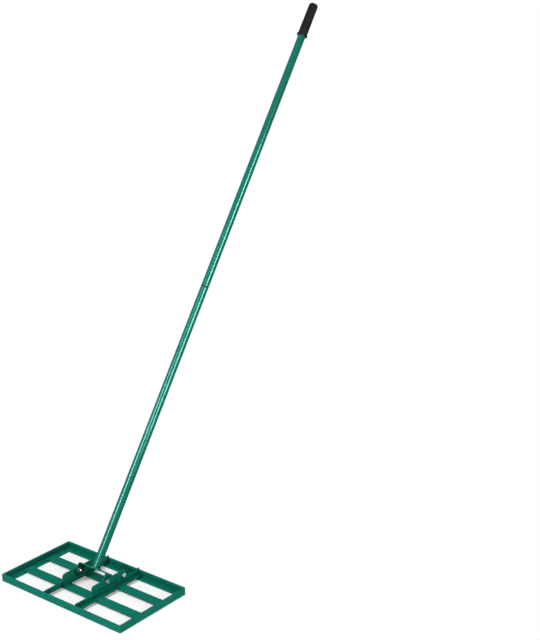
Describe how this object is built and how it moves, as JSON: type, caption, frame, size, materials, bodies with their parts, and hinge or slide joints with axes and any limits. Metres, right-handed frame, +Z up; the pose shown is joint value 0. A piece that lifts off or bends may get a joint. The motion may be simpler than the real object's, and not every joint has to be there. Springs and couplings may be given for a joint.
{
  "type": "lawn leveling rake",
  "caption": "Lawn leveling rake: a flat grid head of welded angle iron that drags and spreads top dressing, on a two-section pole with a rubber grip that swings on a bolted yoke.",
  "frame": {"origin": "on the ground under the middle of the head, straight below the pivot", "axes": "+X along the head's long side and the pivot axis, +Y the way the pole leans, +Z up"},
  "size_m": [0.432, 1.1022, 1.4627],
  "materials": {
    "green_paint": "satin powder coat on steel",
    "pole_paint": "gloss powder coat on aluminium tube",
    "zinc_plate": "bright zinc plate",
    "coupling_alloy": "turned aluminium",
    "grip_rubber": "matt moulded rubber"
  },
  "bodies": {
    "head": {"front_angle": "green_paint", "rear_angle": "green_paint", "left_angle": "green_paint", "right_angle": "green_paint", "front_cross_bar": "green_paint", "rear_cross_bar": "green_paint", "left_rail": "green_paint", "right_rail": "green_paint", "left_bracket": "green_paint", "right_bracket": "green_paint", "frame_welds": "green_paint", "rail_welds": "green_paint", "bracket_welds": "green_paint", "left_pivot_bolt": "zinc_plate", "right_pivot_bolt": "zinc_plate", "pivot_washers": "zinc_plate", "pivot_lock_nuts": "zinc_plate", "rear_bolts": "zinc_plate", "rear_washers": "zinc_plate", "rear_nuts": "zinc_plate"},
    "handle": {"yoke": "green_paint", "pole_weld": "green_paint", "lower_pole": "pole_paint", "coupling_stud": "coupling_alloy"},
    "upper_handle": {"upper_pole": "pole_paint", "coupling_socket": "coupling_alloy", "grip": "grip_rubber"}
  },
  "joints": [
    {"name": "handle_pivot", "type": "hinge", "parent": "head", "child": "handle", "pos_m": [0, 0, 0.0355], "axis": [1, 0, 0], "range_deg": [-53, 122]},
    {"name": "upper_draw", "type": "slide", "parent": "handle", "child": "upper_handle", "axis": [0, 0.5635, 0.8261], "range_m": [0, 0.04]}
  ]
}
